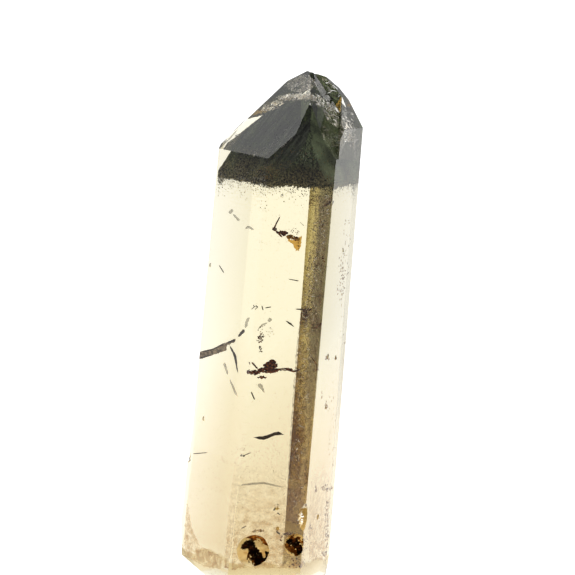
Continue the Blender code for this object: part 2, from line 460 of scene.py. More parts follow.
def sliver(path, flat=0.06, rings=16, ragged=0.35):
    """Thin splinter along a path as seen: across, down, half width and depth in mm."""
    deselect()
    bpy.ops.mesh.primitive_uv_sphere_add(segments=8, ring_count=rings, radius=1.0)
    obj = bpy.context.object
    stops = [Vector(stop) for stop in path]
    steps = [(b - a).xy.length for a, b in zip(stops, stops[1:])]
    whole = sum(steps)
    for vertex in obj.data.vertices:
        part = math.acos(max(-1.0, min(1.0, vertex.co.z))) / math.pi * whole
        number = 0
        while number < len(steps) - 1 and part > steps[number]:
            part -= steps[number]
            number += 1
        start, end = stops[number], stops[number + 1]
        middle = start.lerp(end, min(1.0, part / steps[number]))
        side = Vector((start.y - end.y, end.x - start.x)).normalized()
        round_off = vertex.co.xy.length
        turn = math.atan2(vertex.co.y, vertex.co.x)
        half = middle.z * min(1.0, round_off * 2.2) * (
            1.0 + ragged * noise.noise(Vector((part * 0.9, turn * 0.8, start.x))))
        out = half * math.cos(turn)
        place_seen = seen(middle.x + side.x * out, middle.y + side.y * out,
                          middle.w + flat * math.sin(turn) * min(1.0, round_off * 2.0))
        vertex.co = place(place_seen)
    return obj


def slivers(paths, name, material, flat=0.06):
    """One piece of several splinters."""
    return join([sliver(path, flat) for path in paths], name, material)


def finish(obj):
    """Rides with the crystal."""
    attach(obj, BODY)
    return obj


def along_axes(tree, axes, lengths):
    """Pattern place measured along three directions, in pattern lengths given in mm."""
    spot = add_node(tree, "ShaderNodeTexCoord")
    parts = []
    for axis, length in zip(axes, lengths):
        dot = add_node(tree, "ShaderNodeVectorMath", [(0, spot.outputs["Object"])],
                       operation="DOT_PRODUCT")
        dot.inputs[1].default_value = direction(axis) / (length * MM)
        parts.append(dot.outputs["Value"])
    both = add_node(tree, "ShaderNodeCombineXYZ", list(enumerate(parts)))
    return both.outputs["Vector"]


def height_share(tree, start, end):
    """Share from 0 to 1 as the height in the crystal goes from start to end, in mm."""
    height = add_node(tree, "ShaderNodeSeparateXYZ", [
        (0, along_axes(tree, ((1, 0, 0), (0, 1, 0), (0, 0, 1)), (1.0, 1.0, 1.0)))])
    level = (TO_WORLD.transposed() @ AXIS_POINT).z
    share = add_node(tree, "ShaderNodeMapRange", [("Value", height.outputs["Z"])],
                     From_Min=level + start, From_Max=level + end)
    return share.outputs["Result"]


def product(tree, first, second):
    """Two values multiplied."""
    node = add_node(tree, "ShaderNodeMath", [(0, first), (1, second)], operation="MULTIPLY")
    return node.outputs["Value"]


def foot_plane():
    """The level foot as a plane in the crystal."""
    return Vector((math.sin(LEAN), 0.0, -math.cos(LEAN))), AXIS_POINT.z


class CrystalSettings(bpy.types.PropertyGroup):
    """Look of the clear quartz."""

    tint: bpy.props.FloatVectorProperty(
        name="Tint", description="Colour that the clear quartz lets through",
        default=linear("#e1d8a8"), size=3, subtype="COLOR", min=0.0, max=1.0)
    density: bpy.props.FloatProperty(
        name="Tint density", description="How fast the quartz takes colour, per metre",
        default=40.0, min=0.0, max=500.0)
    smoke: bpy.props.FloatVectorProperty(
        name="Smoke", description="Colour that the smoky foot lets through",
        default=linear("#dcc59a"), size=3, subtype="COLOR", min=0.0, max=1.0)
    smoke_density: bpy.props.FloatProperty(
        name="Smoke density", description="How fast the smoky foot takes colour, per metre",
        default=34.0, min=0.0, max=500.0)
    worn_edge: bpy.props.FloatProperty(
        name="Worn edge", description="Width of the wear along the crystal's edges",
        default=0.05 * MM, min=0.0, max=MM, unit="LENGTH")


class PhantomSettings(bpy.types.PropertyGroup):
    """Look of the chlorite phantom."""

    wall: bpy.props.FloatProperty(
        name="Clear wall", description="Clear quartz between the phantom and the prism faces",
        default=0.45 * MM, min=0.1 * MM, max=3.0 * MM, unit="LENGTH")
    thickness: bpy.props.FloatProperty(
        name="Thickness", description="Thickness of the chlorite layer",
        default=0.55 * MM, min=0.2 * MM, max=2.0 * MM, unit="LENGTH")
    scale_size: bpy.props.FloatProperty(
        name="Scales", description="Size of the chlorite scales in the crust",
        default=0.26 * MM, min=0.15 * MM, max=1.0 * MM, unit="LENGTH")


class StageSettings(bpy.types.PropertyGroup):
    """Studio round the crystal."""

    backdrop: bpy.props.FloatProperty(
        name="Backdrop", description="Brightness of the lit backdrop behind the crystal",
        default=1.15, min=0.0, max=10.0)
    side: bpy.props.FloatProperty(
        name="Sides", description="Brightness of the studio at the sides and the front",
        default=0.22, min=0.0, max=10.0)
    lens: bpy.props.FloatProperty(
        name="Lens", description="Focal length in millimetres", default=LENS, min=10.0)


def clear_quartz(settings):
    """Natural quartz, grown smooth: glassy, faintly smoky, with fine growth lines."""
    material, tree, shader, output = new_material("clear_quartz_grown")
    shader.inputs["Base Color"].default_value = (1.0, 1.0, 1.0, 1.0)
    shader.inputs["Transmission Weight"].default_value = 1.0
    shader.inputs["IOR"].default_value = QUARTZ_IOR
    shader.inputs["Roughness"].default_value = 0.0
    lines = along_axes(tree, ((1, 0, 0), (0, 1, 0), (0, 0, 1)), (2.6, 2.6, 0.45))
    growth = add_node(tree, "ShaderNodeTexNoise", [("Vector", lines)], Scale=1.0, Detail=3.0)
    waves = add_node(tree, "ShaderNodeBump", [("Height", growth.outputs["Fac"])],
                     Strength=0.35, Distance=0.03 * MM)
    tree.links.new(waves.outputs["Normal"], shader.inputs["Normal"])
    volume = add_node(tree, "ShaderNodeVolumeAbsorption", Density=settings.density)
    volume.inputs["Color"].default_value = (*settings.tint, 1.0)
    tree.links.new(volume.outputs[0], output.inputs["Volume"])
    return material


def broken_quartz(settings):
    """Rough fracture of the same quartz at the base: frosted, so it glows pale and milky."""
    material = clear_quartz(settings)
    material.name = "quartz_broken_rough"
    shader = material.node_tree.nodes["Principled BSDF"]
    shader.inputs["Base Color"].default_value = (*linear("#eedcb6"), 1.0)
    shader.inputs["Roughness"].default_value = 0.4
    shader.inputs["IOR"].default_value = 1.05
    return material


def stained(name, colour, roughness):
    """Thin translucent stain in the quartz: light passes it and takes its colour."""
    material, tree, shader, output = new_material(name)
    shader.inputs["Base Color"].default_value = (*linear(colour), 1.0)
    shader.inputs["Roughness"].default_value = roughness
    shader.inputs["Transmission Weight"].default_value = 0.75
    shader.inputs["IOR"].default_value = 1.05
    return material


def iron_oxide(name, dark="#1c0d06", mid="#5e2f12", light="#b87a3a", scale=0.7):
    """Iron oxide film: dull earthy crust, black-brown where thick, ochre where thin."""
    material, tree, shader, output = new_material(name)
    spot = add_node(tree, "ShaderNodeTexCoord")
    patches = add_node(tree, "ShaderNodeTexNoise", [("Vector", spot.outputs["Object"])],
                       Scale=1.0 / (scale * MM), Detail=5.0, Roughness=0.6)
    ramp = add_node(tree, "ShaderNodeValToRGB", [("Fac", patches.outputs["Fac"])])
    set_ramp(ramp, [(0.40, dark), (0.54, mid), (0.68, light)])
    tree.links.new(ramp.outputs["Color"], shader.inputs["Base Color"])
    shader.inputs["Roughness"].default_value = 0.8
    shader.inputs["Specular IOR Level"].default_value = 0.0
    return material


def dull(name, colour, roughness=0.6, alpha=1.0):
    """Plain fine-grained matter: one colour, dull."""
    material, tree, shader, output = new_material(name)
    shader.inputs["Base Color"].default_value = (*linear(colour), 1.0)
    shader.inputs["Roughness"].default_value = roughness
    shader.inputs["Specular IOR Level"].default_value = 0.0
    shader.inputs["Alpha"].default_value = alpha
    return material


def mottled(name, dark, light, lengths, cover, reach=None, through=0.0):
    """Cloudy film inside the quartz: patches that hide more or less of what lies behind, the
    cover from least to most, thicker towards the reach of heights if given, in mm, and the
    share of light that passes it and takes its colour."""
    material, tree, shader, output = new_material(name)
    spot = along_axes(tree, ((1, 0, 0), (0, 1, 0), (0, 0, 1)), lengths)
    patches = add_node(tree, "ShaderNodeTexNoise", [("Vector", spot)], Scale=1.0, Detail=7.0,
                       Roughness=0.68)
    ramp = add_node(tree, "ShaderNodeValToRGB", [("Fac", patches.outputs["Fac"])])
    set_ramp(ramp, [(0.38, light), (0.62, dark)])
    tree.links.new(ramp.outputs["Color"], shader.inputs["Base Color"])
    amount = add_node(tree, "ShaderNodeMapRange", [("Value", patches.outputs["Fac"])],
                      From_Min=0.36, From_Max=0.66, To_Min=cover[0], To_Max=cover[1])
    amount = amount.outputs["Result"]
    if reach:
        amount = product(tree, amount, height_share(tree, *reach))
    tree.links.new(amount, shader.inputs["Alpha"])
    shader.inputs["Roughness"].default_value = 0.7 if not through else 0.35
    shader.inputs["Transmission Weight"].default_value = through
    shader.inputs["IOR"].default_value = 1.05 if through else 1.5
    shader.inputs["Specular IOR Level"].default_value = 0.0
    return material


def lining(spot, point):
    """Which finish a hollow of the base has at a place as seen: 3 black, 2 rust, 1 bare."""
    wild = noise.noise(point * 1.3) + 0.7 * noise.noise(point * 3.4)
    for path, index, ragged in ((BLACK_LINING, 3, 1.6), (RUST_LINING, 2, 3.2)):
        for (x0, y0, r0), (x1, y1, r1) in path:
            start = Vector((x0, y0))
            along = Vector((x1, y1)) - start
            part = max(0.0, min(1.0, (spot - start).dot(along) / along.length_squared))
            if (spot - start - along * part).length < r0 + (r1 - r0) * part + wild * ragged:
                return index
    return 1


class PHANTOMQUARTZ_OT_crystal(bpy.types.Operator):
    """Clear crystal: prism, point, growth steps, broken base, scars and pits"""

    bl_idname = "phantom_quartz.crystal"
    bl_label = "Clear crystal"

    def execute(self, context):
        settings = context.scene.quartz_crystal
        widest = LEDGES[-1][0]
        planes = [face_plane(f, widest if n in LEDGE_FACES else 0.0)
                  for n, f in PRISM_FACES.items()]
        planes += [face_plane(f) for f in POINT_FACES.values()]
        planes += [face_plane(f) for f in BREAK_FACES.values()]
        planes.append(foot_plane())
        crystal = cut_body(planes)
        wedges = [[LOW_RIGHT_FACE, STEP_SIDE, STEP_FRONT]]
        width = 0.0
        for out, top, slope in LEDGES:
            rise = math.radians(slope)
            for name in LEDGE_FACES:
                azimuth, inclination, distance = PRISM_FACES[name]
                distance += width
                reach = distance * math.sin(rise) + top * math.cos(rise)
                wedges.append([(azimuth, inclination, distance), (azimuth, slope, reach)])
            width = out
        for faces in wedges:
            carve(crystal, cut_body([(-n, -d) for n, d in map(face_plane, faces)]))
        bevel = crystal.modifiers.new("worn edges", "BEVEL")
        bevel.width = settings.worn_edge
        bevel.segments = 2
        bevel.limit_method = "ANGLE"
        bevel.angle_limit = math.radians(18.0)
        apply_modifiers(crystal)
        for x, y, z, radius, stretch in SCARS:
            carve(crystal, shell_ball((x, y, z), radius, stretch, 5 if radius > 3 else 4, 0.12))
        for face, along, height, radius in PITS:
            spot = point_on(face, along, height)
            spot += normal_of(*PRISM_FACES[face][:2]) * radius * 0.55
            carve(crystal, shell_ball(spot, radius, 1.3, 3))
        glass = clear_quartz(settings)
        take(crystal, "quartz_crystal", glass)
        gaps = scattered(crumb(2.0, 0.5), strewn(
            OPEN_FLAWS, 3, 1.6, FLAW_SHAPE, margin=0.25), "flaws", glass)
        bpy.ops.object.mode_set(mode="EDIT")
        bpy.ops.mesh.select_all(action="SELECT")
        bpy.ops.mesh.flip_normals()
        bpy.ops.object.mode_set(mode="OBJECT")
        crystal = join([crystal, gaps], "quartz_crystal")
        crystal.data.materials.append(broken_quartz(settings))
        crystal.data.materials.append(
            iron_oxide("iron_oxide_lining", "#3a1a08", "#8a4a16", "#c98a3c", 0.5))
        crystal.data.materials.append(
            iron_oxide("iron_oxide_lining_black", "#0c0502", "#1c0c05", "#54290f", 0.8))
        grown = [face_plane(f) for f in PRISM_FACES.values()]
        back = TO_WORLD.transposed()
        for polygon in crystal.data.polygons:
            spot = back @ (polygon.center / MM - AXIS_POINT)
            turned = back @ polygon.normal
            flat = any(abs(spot.dot(n) - d - 0.35) < 0.5 and turned.dot(n) > 0.97
                       for n, d in grown)
            if spot.z < -62.0 and not flat:
                polygon.material_index = 1
            for x, y, z, radius, stretch in SCARS[2:4]:
                if (spot - Vector((x, y, z))).length < radius + 0.35 and not flat:
                    polygon.material_index = lining(shown(spot), spot)
        finish(crystal)
        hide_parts("quartz_prism", "quartz_cap")
        return {"FINISHED"}


def earlier_planes(wall, inset):
    """Faces of the earlier point."""
    planes = [face_plane(f, -wall - inset) for f in PRISM_FACES.values()]
    for name in ("large left", "large right", "large back", "small front", "small back left",
                 "small back right"):
        face = LOW_RIGHT_FACE if name == "large right" else POINT_FACES[name]
        planes.append(face_plane(face, -PHANTOM_DROP * math.cos(math.radians(face[1])) - inset))
    return planes


def chlorite(settings):
    """Chlorite, grown as a crust of fine scales: dull and dark green, with painted light on the
    faces turned to the right, paler green in patches.
    """
    material, tree, shader, output = new_material("green_chlorite_crust")
    place_node = add_node(tree, "ShaderNodeTexCoord")
    grain = add_node(tree, "ShaderNodeTexNoise", [("Vector", place_node.outputs["Object"])],
                     Scale=1.0 / (0.34 * MM), Detail=6.0, Roughness=0.7)
    cloud = add_node(tree, "ShaderNodeTexNoise", [("Vector", place_node.outputs["Object"])],
                     Scale=1.0 / (5.0 * MM), Detail=3.0)
    both = add_node(tree, "ShaderNodeMath", [(0, grain.outputs["Fac"]),
                                             (1, cloud.outputs["Fac"])])
    ramp = add_node(tree, "ShaderNodeValToRGB", [("Fac", both.outputs["Value"])])
    half = add_node(tree, "ShaderNodeMath", [(0, both.outputs["Value"])], operation="MULTIPLY")
    half.inputs[1].default_value = 0.5
    tree.links.new(half.outputs["Value"], ramp.inputs["Fac"])
    set_ramp(ramp, [(0.36, "#040702"), (0.47, "#141d0c"), (0.58, "#465530"), (0.70, "#9aa472")])
    normal = normal_of(*POINT_FACES["large left"][:2])
    rise = (Vector((0.0, 0.0, 1.0)) - normal * normal.z).normalized()
    fibres = along_axes(tree, (rise, normal.cross(rise), normal), (8.0, 1.1, 3.0))
    streaks = add_node(tree, "ShaderNodeTexNoise", [("Vector", fibres)], Scale=1.0, Detail=3.0)
    faces = add_node(tree, "ShaderNodeNewGeometry")
    facing = add_node(tree, "ShaderNodeVectorMath", [(0, faces.outputs["Normal"])],
                      operation="DOT_PRODUCT")
    facing.inputs[1].default_value = direction(normal)
    only = add_node(tree, "ShaderNodeMapRange", [("Value", facing.outputs["Value"])],
                    From_Min=0.80, From_Max=0.92)
    streak = add_node(tree, "ShaderNodeMapRange", [("Value", streaks.outputs["Fac"])],
                      From_Min=0.40, From_Max=0.80, To_Min=0.0, To_Max=0.55)
    amount = product(tree, product(tree, only.outputs["Result"], streak.outputs["Result"]),
                     height_share(tree, 1.0, 6.0))
    mix = add_node(tree, "ShaderNodeMix", [("Factor", amount), (6, ramp.outputs["Color"])],
                   data_type="RGBA")
    mix.inputs[7].default_value = (*linear("#8f968e"), 1.0)
    # Painted light: faces turned to the right are mixed towards a pale green, more in some
    # patches, for light showing through the thin crust there.
    right = add_node(tree, "ShaderNodeVectorMath", [(0, faces.outputs["Normal"])],
                     operation="DOT_PRODUCT")
    right.inputs[1].default_value = direction(normal_of(*LOW_RIGHT_FACE[:2]))
    lit_right_share = add_node(tree, "ShaderNodeMapRange", [("Value", right.outputs["Value"])],
                     From_Min=0.7, From_Max=0.95)
    lit_patches = add_node(tree, "ShaderNodeMapRange", [("Value", cloud.outputs["Fac"])],
                    From_Min=0.35, From_Max=0.62, To_Min=0.35, To_Max=1.0)
    painted_light_right = add_node(tree, "ShaderNodeMix", [
        ("Factor", product(tree, lit_right_share.outputs["Result"], lit_patches.outputs["Result"])),
        (6, mix.outputs[2])], data_type="RGBA")
    painted_light_right.inputs[7].default_value = (*linear("#a3b48e"), 1.0)
    flecks = add_node(tree, "ShaderNodeMapRange", [("Value", grain.outputs["Fac"])],
                      From_Min=0.42, From_Max=0.60)
    olive = product(tree, height_share(tree, PHANTOM_FOOT + 5.4, PHANTOM_FOOT + 0.6),
                    flecks.outputs["Result"])
    low = add_node(tree, "ShaderNodeMix", [("Factor", olive), (6, painted_light_right.outputs[2])],
                   data_type="RGBA")
    low.inputs[7].default_value = (*linear("#b8ab80"), 1.0)
    tree.links.new(low.outputs[2], shader.inputs["Base Color"])
    shader.inputs["Roughness"].default_value = 0.85
    shader.inputs["Specular IOR Level"].default_value = 0.05
    return material


def foot_lift(spot):
    """How much higher the crust ends there than the phantom's foot, in mm."""
    return 0.45 + 0.045 * spot.x


def crust_edge(settings):
    """Places of loose scales under the ragged foot of the crust, in mm in the world."""
    chance = random.Random(11)
    outline = [face_plane(f, -settings.wall / MM) for f in PRISM_FACES.values()]
    places = []
    for number in range(5200):
        normal, distance = outline[number % 6]
        across = Vector((0.0, 0.0, 1.0)).cross(normal).normalized()
        spot = normal * (distance - chance.uniform(0.0, 1.6)) + across * chance.uniform(-7.4, 7.4)
        spot.z = PHANTOM_FOOT + 0.6 + foot_lift(spot) - chance.expovariate(1.0) * 0.8
        if any(spot.dot(n) > d for n, d in outline):
            continue
        size = 0.06 + 0.11 * chance.random() ** 2
        turn = Matrix.Rotation(chance.uniform(0.0, 6.28), 4, Vector(
            (chance.uniform(-1, 1), chance.uniform(-1, 1), 0.7)))
        places.append(Matrix.Translation(TO_WORLD @ spot + AXIS_POINT) @ turn
                      @ Matrix.Diagonal((size, size * 0.8, size * 0.5, 1.0)))
    return places


class PHANTOMQUARTZ_OT_phantom(bpy.types.Operator):
    """Dark green phantom: a grainy crust on the faces of the earlier point"""

    bl_idname = "phantom_quartz.phantom"
    bl_label = "Phantom"

    def execute(self, context):
        settings = context.scene.quartz_phantom
        wall = settings.wall / MM
        thick = settings.thickness / MM
        foot = (Vector((0.0, 0.0, -1.0)), -PHANTOM_FOOT)
        crust = cut_body(earlier_planes(wall, 0.0) + [foot])
        carve(crust, cut_body(earlier_planes(wall, thick)))
        remesh = crust.modifiers.new("scales", "REMESH")
        remesh.mode = "VOXEL"
        remesh.voxel_size = settings.scale_size
        apply_modifiers(crust)
        back = TO_WORLD.transposed()
        ways = [vertex.normal.copy() for vertex in crust.data.vertices]
        for vertex, way in zip(crust.data.vertices, ways):
            spot = back @ (vertex.co / MM - AXIS_POINT)
            rough = 0.10 * noise.noise(spot * 1.9) + 0.09 * noise.noise(spot * 5.3)
            vertex.co += way * rough * MM
            low = (PHANTOM_FOOT + 1.8 - spot.z) / 1.8
            if low > 0.0:
                lift = foot_lift(spot) + 0.5 * noise.noise(spot * 1.1) + noise.noise(spot * 4.7)
                vertex.co += direction((0.0, 0.0, 1.0)) * max(-0.2, min(1.5, lift)) * low * MM
        material = chlorite(settings)
        take(crust, "chlorite_crust", material)
        finish(crust)
        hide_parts("chlorite_phantom")
        loose = scattered(crumb(3.0), crust_edge(settings), "chlorite_scales", material)
        finish(loose)
        return {"FINISHED"}


# What the crystal has taken in.  Splinters are paths of places as seen: across, down, half
# width in 575ths of the picture, and depth in mm.
CRACK_PLATES = (
    (((199.0, 352.0), (208.0, 350.6), (219.0, 346.4), (227.0, 342.6), (226.6, 350.4),
      (215.0, 354.4), (206.0, 357.0), (199.2, 359.2)), (1.2, 2.0)),
    (((222.0, 345.0), (229.0, 341.2), (235.6, 338.4), (235.4, 341.6), (229.4, 344.6)),
     (1.8, 2.4)),
)
DARK_CRACKS = (
    ((199.4, 352.2, 0.7, 1.1), (213.0, 349.2, 0.6, 1.3), (226.0, 342.4, 0.7, 1.0)),
    ((199.4, 358.6, 0.9, 1.1), (207.0, 356.2, 0.7, 1.3), (213.0, 355.0, 0.3, 1.5)),
    ((227.0, 343.0, 0.8, 1.0), (235.6, 339.8, 0.8, 1.1)),
    ((238.0, 337.0, 1.0, 1.6), (244.5, 329.5, 1.9, 1.6)),
    ((229.5, 345.0, 0.9, 1.3), (235.0, 356.0, 1.2, 1.4), (238.0, 374.0, 0.5, 1.5)),
    ((251.0, 391.5, 0.6, 1.4), (254.8, 400.0, 0.7, 1.4)),
    ((253.0, 437.4, 0.5, 1.5), (258.0, 437.8, 1.3, 1.5), (263.0, 438.2, 1.9, 1.5),
     (269.0, 436.4, 1.6, 1.5), (274.0, 434.0, 1.7, 1.5), (279.0, 433.4, 1.7, 1.5),
     (284.4, 434.8, 0.8, 1.5)),
    ((295.0, 309.0, 0.8, 1.5), (300.0, 309.3, 0.6, 1.5), (306.0, 310.8, 2.1, 1.5),
     (313.0, 308.6, 0.4, 1.5)),
    ((323.0, 207.0, 1.0, 1.5), (327.0, 204.5, 0.9, 1.5), (331.5, 200.5, 1.6, 1.5)),
    ((219.0, 265.0, 0.5, 1.2), (224.0, 273.0, 0.5, 1.2)),
    ((288.0, 279.0, 0.3, 1.6), (299.0, 281.0, 0.6, 1.6)),
    ((265.0, 308.0, 0.5, 1.4), (271.5, 306.8, 0.5, 1.4)),
    ((261.8, 305.5, 0.5, 1.4), (263.2, 310.5, 0.6, 1.4)),
    ((251.0, 309.5, 0.4, 1.4), (257.0, 305.0, 0.4, 1.4)),
    ((285.5, 320.5, 0.4, 1.6), (290.0, 323.6, 0.9, 1.6), (294.5, 327.0, 0.3, 1.6)),
    ((193.0, 454.0, 0.5, 1.0), (208.0, 452.6, 0.4, 1.0)),
    ((241.0, 456.6, 0.5, 1.3), (251.5, 452.4, 0.4, 1.3)),
    ((241.0, 528.6, 0.4, 1.3), (246.5, 526.0, 0.4, 1.3)),
    ((276.0, 531.0, 0.8, 1.5), (280.0, 534.5, 0.7, 1.5)),
    ((273.5, 510.5, 0.8, 1.0), (276.0, 507.8, 0.7, 1.0)),
    ((277.0, 513.0, 0.6, 1.0), (280.0, 514.5, 0.5, 1.0)),
    ((188.0, 456.5, 0.8, 0.8), (191.0, 461.0, 0.7, 0.8)),
)
GREY_FEATHERS = (
    ((236.0, 485.6, 0.5, 1.0), (250.0, 484.0, 1.1, 1.0), (264.0, 483.0, 1.0, 1.0),
     (284.0, 487.6, 0.7, 1.0)),
    ((300.0, 222.0, 0.3, 1.0), (304.0, 226.0, 0.4, 1.0)),
    ((219.0, 148.6, 0.5, 0.4), (229.0, 139.4, 0.8, 0.4), (238.0, 129.0, 0.5, 0.4)),
    ((224.0, 150.4, 0.4, 0.4), (236.0, 139.0, 0.7, 0.4), (244.0, 130.0, 0.4, 0.4)),
    ((231.0, 132.0, 0.3, 0.4), (238.0, 126.0, 0.6, 0.4), (246.0, 117.0, 0.4, 0.4)),
    ((245.5, 328.0, 1.4, 1.4), (247.0, 321.0, 1.5, 1.4), (249.5, 317.0, 1.0, 1.5)),
    ((268.0, 321.5, 1.7, 1.5), (271.5, 318.5, 1.7, 1.5)),
    ((224.0, 362.5, 1.4, 1.4), (228.0, 375.0, 0.8, 1.4)),
    ((229.5, 378.5, 0.6, 1.4), (233.0, 388.0, 0.7, 1.5), (236.0, 396.0, 0.4, 1.5)),
    ((232.0, 383.0, 0.5, 1.4), (237.5, 396.5, 0.5, 1.5)),
    ((257.5, 330.0, 0.7, 1.5), (262.0, 325.0, 0.8, 1.5), (268.0, 322.5, 0.7, 1.5)),
    ((229.0, 213.5, 1.8, 1.2), (233.0, 209.5, 1.4, 1.2)),
    ((233.0, 214.0, 0.9, 1.2), (239.5, 221.0, 1.3, 1.2)),
    ((245.0, 229.0, 0.9, 1.2), (248.5, 226.6, 1.2, 1.2), (254.0, 230.0, 0.9, 1.2)),
    ((258.0, 384.0, 2.6, 1.5), (261.0, 386.5, 1.9, 1.5), (264.5, 393.0, 0.4, 1.5)),
)
CLOUDS = (
    (((239.6, 424.0), (288.4, 424.0), (285.6, 500.0), (284.6, 530.0), (300.0, 534.0),
      (300.0, 568.0), (226.0, 568.0), (225.6, 560.0), (230.6, 500.0)), (2.6, 2.6)),
    (((188.0, 500.0), (193.0, 528.0), (201.0, 546.0), (224.0, 557.0), (222.0, 569.0),
      (206.0, 566.0), (186.0, 556.0), (186.0, 524.0)), (0.7, 0.7)),
    (((315.0, 428.0), (336.0, 428.0), (329.0, 515.0), (327.0, 560.0), (309.0, 560.0),
      (309.0, 512.0)), (0.5, 0.5)),
)
STRIP_FILM = (((316.4, 196.0), (310.0, 250.0), (302.4, 300.0), (296.0, 350.0), (290.6, 425.0),
               (287.4, 480.0), (286.0, 520.0), (302.0, 526.0), (304.4, 500.0), (309.0, 450.0),
               (318.0, 357.0), (321.4, 299.0), (331.4, 197.0)), (1.0, 0.7))
RUST_SPLINTERS = (
    ((280.3, 216.0, 0.5, 1.4), (276.5, 223.0, 0.7, 1.4), (273.5, 230.0, 1.0, 1.4)),
    ((275.0, 230.0, 0.7, 1.4), (282.5, 237.5, 0.9, 1.4)),
    ((251.5, 362.0, 0.8, 1.5), (258.0, 369.0, 0.9, 1.5)),
    ((284.0, 368.0, 1.4, 1.5), (293.5, 371.5, 1.0, 1.5), (301.0, 369.6, 1.2, 1.5)),
    ((309.0, 354.0, 0.4, 1.0), (315.5, 362.5, 0.4, 1.0), (318.0, 371.0, 0.3, 1.0)),
)
# Lumps strewn over patches as seen: middle across and down, half width and half height, depth
# in mm, how many, and their size in mm.
BROWN_LUMPS = (
    (268.5, 370.2, 10.0, 2.4, 1.5, 150, 0.34),
    (270.5, 365.4, 6.6, 3.4, 1.5, 130, 0.34),
    (272.0, 362.0, 3.6, 2.0, 1.5, 40, 0.28),
    (254.0, 372.4, 6.0, 2.2, 1.5, 70, 0.24),
    (285.0, 369.4, 8.0, 1.2, 1.5, 70, 0.18),
    (274.6, 228.8, 2.2, 1.7, 1.4, 30, 0.22),
    (284.4, 233.4, 2.6, 2.2, 1.3, 30, 0.36),
    (279.4, 232.4, 3.4, 1.2, 1.3, 20, 0.26),
    (261.5, 337.5, 2.2, 5.0, 1.5, 26, 0.18),
    (260.0, 346.8, 0.9, 0.9, 1.5, 8, 0.16),
    (262.0, 377.5, 4.0, 1.4, 1.5, 24, 0.22),
    (282.5, 195.0, 0.6, 0.6, 0.5, 4, 0.16),
    (323.0, 225.5, 0.9, 0.9, 1.0, 6, 0.18),
    (289.0, 534.0, 6.0, 1.2, 0.4, 30, 0.20),
    (281.0, 538.0, 1.4, 3.0, 1.0, 8, 0.20),
)
OCHRE_LUMPS = (
    (289.4, 236.8, 3.0, 1.4, 1.3, 24, 0.34),
    (295.6, 238.8, 4.0, 1.8, 1.3, 20, 0.30),
    (347.0, 232.0, 4.0, 16.0, 0.45, 16, 0.24),
    (343.5, 268.0, 5.0, 20.0, 0.45, 50, 0.27),
    (340.5, 290.0, 4.0, 10.0, 0.45, 24, 0.27),
    (343.0, 330.0, 3.0, 34.0, 0.45, 14, 0.22),
    (328.0, 357.6, 2.4, 3.0, 0.45, 20, 0.32),
    (336.0, 358.0, 1.2, 2.6, 0.45, 9, 0.32),
    (326.0, 405.0, 1.6, 5.0, 0.45, 14, 0.26),
    (322.0, 392.0, 1.4, 8.0, 0.45, 8, 0.22),
    (332.0, 425.0, 4.0, 45.0, 0.45, 30, 0.24),
    (327.0, 488.0, 5.4, 3.4, 0.45, 40, 0.30),
    (315.6, 489.0, 1.0, 3.4, 0.45, 14, 0.28),
    (327.0, 502.0, 1.0, 1.0, 0.45, 8, 0.30),
    (326.6, 526.0, 2.2, 26.0, 0.45, 70, 0.28),
    (325.0, 553.0, 3.4, 3.0, 0.45, 24, 0.28),
    (257.0, 531.0, 7.0, 1.2, 0.6, 14, 0.24),
    (310.0, 530.0, 1.4, 8.0, 0.5, 14, 0.24),
)
RUST_LUMPS = (
    (259.5, 339.5, 2.6, 3.4, 1.5, 12, 0.20),
    (260.5, 350.0, 1.6, 3.4, 1.5, 9, 0.18),
    (266.0, 331.0, 9.0, 6.0, 1.5, 22, 0.14),
    (298.0, 231.0, 8.0, 4.0, 1.4, 14, 0.15),
    (324.0, 262.0, 2.4, 9.0, 0.6, 16, 0.17),
    (298.0, 563.0, 12.0, 5.0, 0.5, 26, 0.20),
    (306.0, 545.0, 2.0, 9.0, 0.5, 16, 0.20),
)
GOLD_FLAKES = (
    (291.0, 238.0, 3.0, 1.4, 1.2, 7, 0.14),
    (298.0, 241.0, 3.6, 3.0, 1.2, 12, 0.14),
    (297.5, 247.6, 2.0, 3.0, 1.2, 6, 0.14),
)
HAZE = (
    (262.0, 510.0, 74.0, 68.0, 1.0, 1100, 0.085),
    (276.0, 215.0, 34.0, 32.0, 1.0, 160, 0.07),
    (270.0, 300.0, 36.0, 60.0, 1.0, 160, 0.06),
    (262.0, 420.0, 50.0, 70.0, 1.0, 420, 0.07),
)
WHITE_SPECKS = (
    (262.0, 152.0, 8.0, 3.0, 0.4, 40, 0.07),
    (271.0, 148.0, 8.0, 5.0, 0.4, 50, 0.07),
    (280.0, 142.0, 8.0, 6.0, 0.4, 50, 0.07),
    (288.0, 133.0, 5.0, 8.0, 0.4, 34, 0.07),
    (306.0, 156.0, 12.0, 8.0, 0.6, 16, 0.09),
    (296.0, 97.5, 20.0, 2.8, 0.3, 110, 0.14),
    (272.0, 107.0, 9.0, 2.0, 0.3, 34, 0.14),
    (330.0, 110.0, 5.0, 9.0, 0.3, 44, 0.14),
    (338.0, 113.0, 3.0, 5.0, 0.3, 30, 0.16),
    (254.8, 154.6, 0.6, 0.6, 0.5, 2, 0.26),
)
STREAKS = (
    (325.0, 205.0, 6.0, 14.0, 0.6, 34, 0.6),
    (319.0, 235.0, 6.0, 20.0, 0.6, 44, 0.6),
    (314.0, 270.0, 7.0, 24.0, 0.6, 60, 0.6),
    (309.0, 312.0, 8.0, 26.0, 0.6, 70, 0.6),
    (305.0, 355.0, 8.0, 26.0, 0.6, 60, 0.6),
    (301.0, 400.0, 8.0, 28.0, 0.6, 50, 0.6),
    (298.0, 445.0, 7.0, 28.0, 0.6, 40, 0.5),
    (295.0, 490.0, 7.0, 22.0, 0.6, 34, 0.5),
)
STREAK_SHAPE = ((0.3, 1.2), (0.06, 0.14), (0.03, 0.05))
